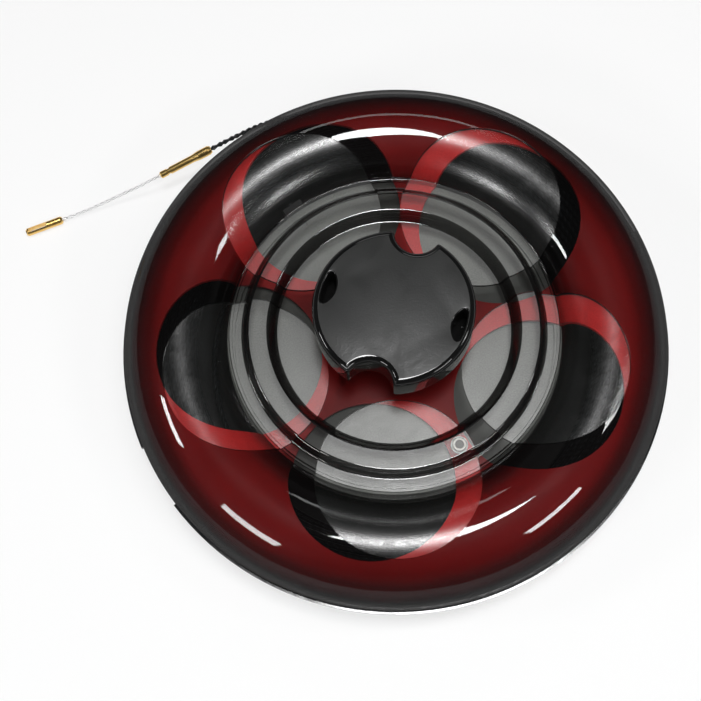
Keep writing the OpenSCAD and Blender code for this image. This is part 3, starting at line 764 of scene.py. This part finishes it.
class REEL_OT_tape(ReelOperator):
    """Make the twisted tape: its free end, the stretch inside the rim and the winding on the drum"""

    bl_idname = "reel.tape"
    bl_label = "Tape"

    def execute(self, context):
        tape = context.scene.reel.tape
        strand = plastic("tape_strand", tape.black, 0.32, grain_scale=2600.0, grain_depth=0.00003)
        free = smooth_route(TAPE_ROUTE[GUIDE_MOUTH:], per_span=5)
        inside = smooth_route(TAPE_ROUTE[: GUIDE_MOUTH + 1], per_span=6)
        cord = self.add_stretch(tape, free, "tape_free_end", strand, ("tape_lead",))
        self.add_stretch(tape, inside, "tape_in_rim", strand, ())
        self.add_winding(tape)
        self.add_under_turns(tape)
        return {"FINISHED"}

    def add_stretch(self, tape, route, name, material, replaced):
        """A stretch of the tape with its strands wound about each other."""
        bm = twisted(route, tape.radius, tape.strands, tape.lay, TAPE_STRAND_SHARE)
        return add_piece(bm, name, [material], "case", replaced, CORD_EDGE)

    def add_winding(self, tape):
        """The outer layer on the drum as one tube that starts at the tape's anchor."""
        down_turns = TAIL_TURNS * 0.5
        across_turns = TAIL_TURNS * 0.8
        route = []
        for i in range(-int(TAIL_TURNS * TURN_STEPS), tape.turns * TURN_STEPS + 1):
            turn = i / TURN_STEPS
            layer = math.pi * turn / tape.turns
            down = self.eased((turn + TAIL_TURNS) / down_turns)
            across = self.eased((turn + TAIL_TURNS) / across_turns)
            radius = ANCHOR_R + (BUNDLE_R - LAYER_R * math.cos(layer) - ANCHOR_R) * across
            height = ANCHOR_Z + (BUNDLE_Z + LAYER_R * math.sin(layer) - ANCHOR_Z) * down
            route.append(polar(radius, ANCHOR_ANGLE + math.tau * (turn + TAIL_TURNS), height))
        bm = bmesh.new()
        sweep(bm, route, tape.radius, sides=10, lay=tape.lay)
        bmesh.ops.recalc_face_normals(bm, faces=bm.faces)
        wound = twisted_material("tape_wound", tape.black, tape.strands, 0.45)
        add_piece(bm, "tape_winding", [wound], "rotor", ("tape_coil",), CORD_EDGE)

    def add_under_turns(self, tape):
        """A body of revolution whose outline is ribbed by the turns that it stands for.

        It is thicker below, where the outer layer doesn't cover it, and it is coloured darker than the tape
        as painted shade under that layer.
        """
        ribs = 22
        rib_steps = 6
        rib_height = 0.0006
        valley_radius = 0.0098
        bare_below = -0.3
        bare_thickness = 0.0038
        profile = []
        for i in range(ribs * rib_steps):
            angle = math.tau * i / (ribs * rib_steps)
            reach = valley_radius + abs(math.sin(angle * ribs / 2)) * rib_height
            if math.sin(angle) < bare_below:
                reach += bare_thickness
            profile.append((BUNDLE_R + reach * math.cos(angle), BUNDLE_Z + reach * math.sin(angle)))
        bm = spun([*profile, profile[0]], steps=120)
        # The under turns take 0.6 of the tape's black: painted shade under the outer layer.
        dull = plastic("tape_under", scaled(tape.black, 0.6), 0.6)
        add_piece(bm, "tape_under_turns", [dull], "rotor", ("tape_inner_turns",), CORD_EDGE)

    def eased(self, share):
        share = min(1.0, max(0.0, share))
        return share * share * (3 - 2 * share)


class REEL_OT_leader(ReelOperator):
    """Make the twisted wire leader and finish the pulling eye on its end"""

    bl_idname = "reel.leader"
    bl_label = "Leader"

    def execute(self, context):
        tape = context.scene.reel.tape
        fittings = context.scene.reel.fittings
        wire = plastic(
            "leader_wire", tape.leader_colour, 0.5, grain_scale=3000.0, grain_depth=0.00001, metallic=1.0)
        route = smooth_route(LEADER_ROUTE, per_span=9)
        bm = twisted(route, tape.leader_radius, LEADER_WIRES, tape.leader_lay, LEADER_WIRE_SHARE)
        cord = add_piece(bm, "leader_twist", [wire], "case", ("wire_leader",), CORD_EDGE)
        finish_node("pulling_eye", turned_material("eye_brass", fittings, EYE_END - LEADER_ROUTE[-1]))
        return {"FINISHED"}


class REEL_OT_sleeve(ReelOperator):
    """Finish the brass sleeve on the tape and its ferrule"""

    bl_idname = "reel.sleeve"
    bl_label = "Sleeve"

    def execute(self, context):
        fittings = context.scene.reel.fittings
        brass = turned_material("sleeve_brass", fittings, LEADER_ROUTE[0] - TAPE_ROUTE[-1])
        finish_node("tape_sleeve", brass)
        finish_node("leader_ferrule", brass)
        return {"FINISHED"}


class REEL_OT_front_shell(ReelOperator):
    """Make the see-through front shell with its frosted pads, and its plug"""

    bl_idname = "reel.front_shell"
    bl_label = "Front shell"

    def execute(self, context):
        case = context.scene.reel.case
        finishes = [
            smoke_material("smoke_polished", SMOKE_HIDING, SMOKE_GLOSS, 0.035),
            frost_material(
                "pad_frosted", case.frost, case.haze, case.frost_roughness, grain_scale=1600.0,
                grain_depth=0.00002),
            smoke_material("pad_inside", PAD_INSIDE_HIDING, NO_GLOSS, 0.3),
            # Painted shade: the steps and pad rims are near-black smoke.
            smoke_material("smoke_step", STEP_SHADE_HIDING, STEP_GLOSS, 0.05),
            smoke_material("smoke_inside", INSIDE_HIDING, NO_GLOSS, 0.3),
            smoke_material("smoke_flat", FLAT_HIDING, FLAT_GLOSS, 0.25),
            frost_material(
                "hub_frosted", case.hub_frost, case.hub_haze, case.hub_roughness, grain_scale=1300.0,
                grain_depth=0.00006),
        ]
        bm = bmesh.new()
        self.add_cut(bm, context, 0.0, PAD_R, "DIFFERENCE")
        self.add_cut(bm, context, PAD_DEPTH, PAD_R - PAD_SKIN_GAP, "INTERSECT")
        for face in bm.faces:
            face.material_index = self.finish_of(face)
        add_piece(bm, "front_shell_clear", finishes, "case", ("front_shell",), sharp=32.0)
        self.add_plug(case)
        return {"FINISHED"}

    def add_plug(self, case):
        """The round plug in the raised ring: a pale rim, which is a painted highlight, about a dished grey
        middle, on a wider foot.
        """
        low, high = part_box("vent_plug")
        top = high[2]
        foot_radius = (high[0] - low[0]) / 2
        foot_top = low[2] + 0.001
        neck_radius = 0.0035
        rim = 0.0006
        dish_radius = 0.0023
        dish_floor_radius = 0.0021
        dish_depth = 0.0005
        dish_edge_depth = 0.0003
        profile = [
            (0.0, top - dish_depth), (dish_floor_radius, top - dish_depth),
            (dish_radius, top - dish_edge_depth),
            *arc((neck_radius - rim, top - rim), rim, math.pi * 0.9, 0, steps=8),
            (neck_radius, foot_top), (foot_radius, foot_top), (foot_radius, low[2]), (0.0, low[2]),
        ]
        bm = spun(profile, steps=48)
        for face in bm.faces:
            face.material_index = int(face.calc_center_median().xy.length < dish_radius)
        bmesh.ops.translate(bm, verts=bm.verts, vec=((low[0] + high[0]) / 2, (low[1] + high[1]) / 2, 0))
        # Pale colour on the rim, neck and foot: a painted highlight.
        pale = plastic("plug_pale", case.plug_rim_highlight, 0.4)
        grey = plastic("plug_grey", case.plug_middle, 0.5)
        add_piece(bm, "plug_round", [pale, grey], "case", ("vent_plug",), sharp=40.0)

    def add_cut(self, bm, context, depth, column_radius, operation):
        """Adds to bm the turned front, at a depth in its wall, outside or inside the pads' columns."""
        outer = self.outline(depth)
        inner = self.outline(WALL)
        profile = [*rounded(outer, FILLET_R, FILLET_STEPS), *reversed(inner), outer[0]]
        body = object_of(spun(profile, SHELL_STEPS), "shell_turned")
        low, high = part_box("vent_plug")
        plug_place = ((low[0] + high[0]) / 2, (low[1] + high[1]) / 2, high[2])
        plug = object_of(self.columns([plug_place], PLUG_HOLE_R, height=0.02, sides=48), "plug_column")
        pad_turns = [PAD_START + math.tau * i / PAD_COUNT for i in range(PAD_COUNT)]
        pad_places = [polar(PAD_PITCH_R, turn, MID_Z + 0.02) for turn in pad_turns]
        columns = object_of(self.columns(pad_places, column_radius, height=0.06, sides=180), "pad_columns")
        for tool, way in ((plug, "DIFFERENCE"), (columns, operation)):
            cutter = body.modifiers.new(tool.name, "BOOLEAN")
            cutter.operation = way
            cutter.solver = "EXACT"
            cutter.object = tool
        shaped = body.evaluated_get(context.evaluated_depsgraph_get())
        bm.from_mesh(shaped.to_mesh())
        shaped.to_mesh_clear()
        for made in (body, plug, columns):
            bpy.data.meshes.remove(made.data)

    def outline(self, depth):
        """Radius and height along the front from the hub's hole to the rim, at a depth in the wall."""
        shift = depth * STEP_SHIFT
        steps = []
        for i, (radius, height) in enumerate(HUB_CORNERS):
            steps.append((radius + (shift if i < 2 else -shift), height - depth))
        low = LEDGE_Z - depth
        if depth < WALL:
            floor = min(low, GROOVE_Z)
            steps += [(GROOVE_RADII[0], low), (GROOVE_RADII[0], floor), (GROOVE_RADII[1], floor)]
        tube = TUBE_R - depth
        rise = low - MID_Z
        if depth == 0:
            rise = max(rise, math.sqrt(tube**2 - (TUBE_PITCH_R - GROOVE_RADII[1]) ** 2))
        start = math.pi - math.asin(rise / tube)
        return [(HUB_HOLE_R, steps[0][1]), *steps, *arc((TUBE_PITCH_R, MID_Z), tube, start, 0.0, steps=44)]

    def columns(self, places, radius, height, sides):
        """Upright round columns, each about a point."""
        bm = bmesh.new()
        for place in places:
            bmesh.ops.create_cone(
                bm, cap_ends=True, segments=sides, radius1=radius, radius2=radius, depth=height,
                matrix=Matrix.Translation(place))
        return bm

    def on_column(self, face, radius):
        """Whether a face is in the upright wall that a column of that radius cut."""
        most_slant = 0.05
        slack = 0.00001
        if abs(face.normal.z) >= most_slant:
            return False
        return all(abs(from_pad(vert.co) - radius) < slack for vert in face.verts)

    def finish_of(self, face):
        """Which finish a face of the front has."""
        polished, frosted, pad_inside, step, inside, flat, hub_frosted = range(7)
        centre = face.calc_center_median()
        padded = from_pad(centre) < PAD_R - PAD_SKIN_GAP / 2
        # Pad rims and the hub's sloped faces get the near-black step finish: painted shade.
        if self.on_column(face, PAD_R):
            return step
        if face.normal.z < UNDERSIDE_Z or self.on_column(face, PAD_R - PAD_SKIN_GAP):
            return pad_inside if padded else inside
        on_hub = centre.xy.length < HUB_END_R
        if on_hub and face.normal.z < LEVEL_Z:
            return step
        if padded:
            return hub_frosted if on_hub else frosted
        return flat if on_hub else polished


class REEL_OT_rear_shell(ReelOperator):
    """Polish a copy of the black rear shell, and finish the exit guide in its rim"""

    bl_idname = "reel.rear_shell"
    bl_label = "Rear shell"

    def execute(self, context):
        case = context.scene.reel.case
        gloss = plastic(
            "rear_gloss", case.rear_black, 0.14, grain_scale=1200.0, grain_depth=0.00001, gloss=1.0)
        satin = plastic("rear_satin", case.rear_black, 0.45, grain_scale=700.0, grain_depth=0.00004)
        polished_copy(
            "rear_shell", "rear_shell_black", [gloss, satin], "case", TUBE_RADII,
            self.finish_of)
        finish_node("exit_guide", satin)
        return {"FINISHED"}

    def finish_of(self, centre, normal):
        """Satin in the pads on the underside, and gloss elsewhere."""
        return int(normal.z < UNDERSIDE_Z and from_pad(centre) < PAD_R)


class REEL_OT_knob(ReelOperator):
    """Make the knob with its finger notches and pockets"""

    bl_idname = "reel.knob"
    bl_label = "Knob"

    def execute(self, context):
        knob = context.scene.reel.knob
        grained = plastic("knob_grained", knob.black, 0.36, grain_scale=900.0, grain_depth=0.0001, gloss=0.38)
        # Painted shade: the knob's smooth parts are coloured darker than its grained top.
        smooth = plastic(
            "knob_smooth", knob.shaded_edge_black, 0.06, grain_scale=1400.0, grain_depth=0.000004, spread=0.03)
        bm = bmesh.new()
        rim = self.add_cap(bm, knob)
        mouths = [self.add_pocket(bm, knob, knob.notch_start + math.pi * (i + 0.5)) for i in range(2)]
        for face in bm.faces:
            face.material_index = 1
        bmesh.ops.triangle_fill(bm, use_beauty=True, edges=[*rim, *mouths[0], *mouths[1]], normal=UP)
        self.add_stem(bm, knob)
        bmesh.ops.recalc_face_normals(bm, faces=bm.faces)
        add_piece(bm, "knob_grip", [grained, smooth], "rotor", ("knob",), sharp=40.0)
        return {"FINISHED"}

    def add_cap(self, bm, knob):
        """The notched cap as outlines bridged from its underside to its top; returns the last outline."""
        low = knob.top - knob.cap_height
        chamfer = 0.0006
        crown = 0.00003
        flat_lead = 0.0002
        levels = [(chamfer, low), (0.0, low + chamfer), (0.0, knob.top - knob.edge_round)]
        for inset, lift in arc((0.0, -crown), knob.edge_round, 0.0, math.pi / 2, steps=7)[1:]:
            levels.append((knob.edge_round - inset, knob.top - knob.edge_round + lift))
        levels.append((knob.edge_round + flat_lead, knob.top))
        return self.bridged(bm, [self.cap_outline(bm, knob, inset, height) for inset, height in levels])

    def add_pocket(self, bm, knob, direction):
        """A finger pocket in the cap's top, with a flared mouth; returns the edges of the mouth."""
        flare = 0.0008
        levels = [(0.0, knob.top - knob.cap_height + knob.pocket_floor)]
        levels += arc((flare, knob.top - flare), flare, math.pi, math.pi / 2, steps=4)
        return self.bridged(
            bm, [self.pocket_outline(bm, knob, direction, spread, height) for spread, height in levels])

    def bridged(self, bm, loops):
        """Closes the first of some outlines, bridges each to the next and returns the last."""
        bmesh.ops.contextual_create(bm, geom=loops[0])
        for lower, upper in zip(loops, loops[1:]):
            bmesh.ops.bridge_loops(bm, edges=[*lower, *upper])
        return loops[-1]

    def cap_outline(self, bm, knob, inset, height):
        """The cap's notched outline, inset by some of its rounding."""
        least_corner = 0.0003
        corner = max(knob.corner_round - inset, least_corner)
        from_axis = knob.radius - inset - corner
        at_axis, at_notch, at_corner = self.corner_angles(
            from_axis, knob.notch_radius + inset + corner, knob.notch_pitch)
        arcs = []
        for i in range(2):
            notch = knob.notch_start + math.pi * (i + 1)
            arcs.append((Vector((0, 0, height)), math.pi - 2 * at_axis, 48))
            arcs.append((polar(from_axis, notch - at_axis, height), math.pi - at_corner, 6))
            arcs.append((polar(knob.notch_pitch, notch, height), -2 * at_notch, 26))
            arcs.append((polar(from_axis, notch + at_axis, height), math.pi - at_corner, 6))
        return self.trace(bm, polar(knob.radius - inset, knob.notch_start + at_axis, height), arcs)

    def pocket_outline(self, bm, knob, direction, spread, height):
        """A pocket's half-moon outline, spread by some of its flare."""
        corner = 0.0016
        rim_width = 0.0012
        reach = knob.radius - knob.edge_round - rim_width
        at_axis, at_notch, at_corner = self.corner_angles(
            reach - corner, knob.notch_radius - corner, knob.notch_pitch)
        arcs = [
            (Vector((0, 0, height)), 2 * at_axis, 14),
            (polar(reach - corner, direction + at_axis, height), at_corner, 6),
            (polar(knob.notch_pitch, direction, height), 2 * at_notch, 26),
            (polar(reach - corner, direction - at_axis, height), at_corner, 6),
        ]
        return self.trace(bm, polar(reach + spread, direction - at_axis, height), arcs)

    def corner_angles(self, from_axis, from_notch, pitch):
        """Angles of the triangle of the knob's axis, a notch's centre and the centre of a rounded corner."""
        at_axis = math.acos((from_axis**2 + pitch**2 - from_notch**2) / (2 * from_axis * pitch))
        at_notch = math.acos((from_notch**2 + pitch**2 - from_axis**2) / (2 * from_notch * pitch))
        return at_axis, at_notch, math.pi - at_axis - at_notch

    def trace(self, bm, start, arcs):
        """Draws arcs one after the other from a point, closes them, and returns their edges."""
        before = set(bm.edges)
        first = bm.verts.new(start)
        last = first
        for centre, angle, steps in arcs:
            made = bmesh.ops.spin(bm, geom=[last], cent=centre, axis=UP, angle=angle, steps=steps)
            last = next(item for item in made["geom_last"] if isinstance(item, bmesh.types.BMVert))
        bmesh.ops.weld_verts(bm, targetmap={last: first})
        return [edge for edge in bm.edges if edge not in before]

    def add_stem(self, bm, knob):
        """The bored neck and stem under the cap, sunk a little into it."""
        bore = 0.0061
        foot = MID_Z + 0.0082
        shoulder = MID_Z + 0.0186
        low = knob.top - knob.cap_height
        sunk = low + 0.0005
        profile = [
            (bore, foot), (knob.stem_radius, foot), (knob.stem_radius, shoulder), (knob.neck_radius, low),
            (knob.neck_radius, sunk), (bore, sunk), (bore, foot),
        ]
        stem = spun(profile, steps=96)
        for face in stem.faces:
            face.material_index = 1
        mesh = bpy.data.meshes.new("stem_part")
        stem.to_mesh(mesh)
        stem.free()
        bm.from_mesh(mesh)
        bpy.data.meshes.remove(mesh)


class REEL_OT_drum(ReelOperator):
    """Polish a copy of the drum's red flange, and finish its core, rear flange, screws and tape anchor"""

    bl_idname = "reel.drum"
    bl_label = "Drum"

    def execute(self, context):
        drum = context.scene.reel.drum
        fittings = context.scene.reel.fittings
        red = plastic("drum_red", drum.red, 0.4, grain_scale=1400.0, grain_depth=0.00001, gloss=0.25)
        polished_copy(
            "drum_front", "drum_windowed", [red], "rotor", DRUM_RADII,
            lambda centre, normal: 0)
        grey = plastic("drum_grey", drum.core_grey, 0.45, grain_scale=900.0, grain_depth=0.00004)
        finish_node("drum_core", grey)
        black = plastic("drum_black", drum.flange_black, 0.45)
        for node in ("drum_rear", "tape_anchor", "anchor_screw"):
            finish_node(node, black)
        finish_node("drum_screws", steel_material("screw_steel", fittings))
        return {"FINISHED"}


class REEL_OT_running_gear(ReelOperator):
    """Finish the spindle, bushes, washers, spring and nut"""

    bl_idname = "reel.running_gear"
    bl_label = "Running gear"

    def execute(self, context):
        fittings = context.scene.reel.fittings
        steel = steel_material("gear_steel", fittings)
        bearing = plastic("gear_bearing", fittings.bearing, 0.5, grain_scale=1000.0, grain_depth=0.00003)
        for node in ("spindle", "drive_pin", "rear_washer", "rear_nut", "disc_spring"):
            finish_node(node, steel)
        for node in ("front_bush", "rear_bush", "thrust_washer"):
            finish_node(node, bearing)
        return {"FINISHED"}


class REEL_PT_pieces(bpy.types.Panel):
    """Lists the reel's operators"""

    bl_label = "Draw-in tape reel"
    bl_idname = "REEL_PT_pieces"
    bl_space_type = "VIEW_3D"
    bl_region_type = "UI"
    bl_category = "Reel"

    def draw(self, context):
        for operator in OPERATORS:
            self.layout.operator(operator.bl_idname)


SETTINGS = (
    CaseSettings, DrumSettings, KnobSettings, TapeSettings, FittingSettings, StageSettings, ReelSettings,
)
OPERATORS = (
    REEL_OT_stage, REEL_OT_tape, REEL_OT_leader, REEL_OT_sleeve, REEL_OT_front_shell, REEL_OT_rear_shell,
    REEL_OT_knob, REEL_OT_drum, REEL_OT_running_gear,
)
CLASSES = (*SETTINGS, *OPERATORS, REEL_PT_pieces)


def register():
    for cls in CLASSES:
        bpy.utils.register_class(cls)
    bpy.types.Scene.reel = PointerProperty(type=ReelSettings, name="Reel", description="The reel's settings")


def unregister():
    del bpy.types.Scene.reel
    for cls in reversed(CLASSES):
        bpy.utils.unregister_class(cls)


def main():
    register()
    bpy.ops.reel.stage()
    bpy.ops.reel.tape()
    bpy.ops.reel.leader()
    bpy.ops.reel.sleeve()
    bpy.ops.reel.front_shell()
    bpy.ops.reel.rear_shell()
    bpy.ops.reel.knob()
    bpy.ops.reel.drum()
    bpy.ops.reel.running_gear()
    bpy.context.view_layer.update()


if __name__ == "__main__":
    main()
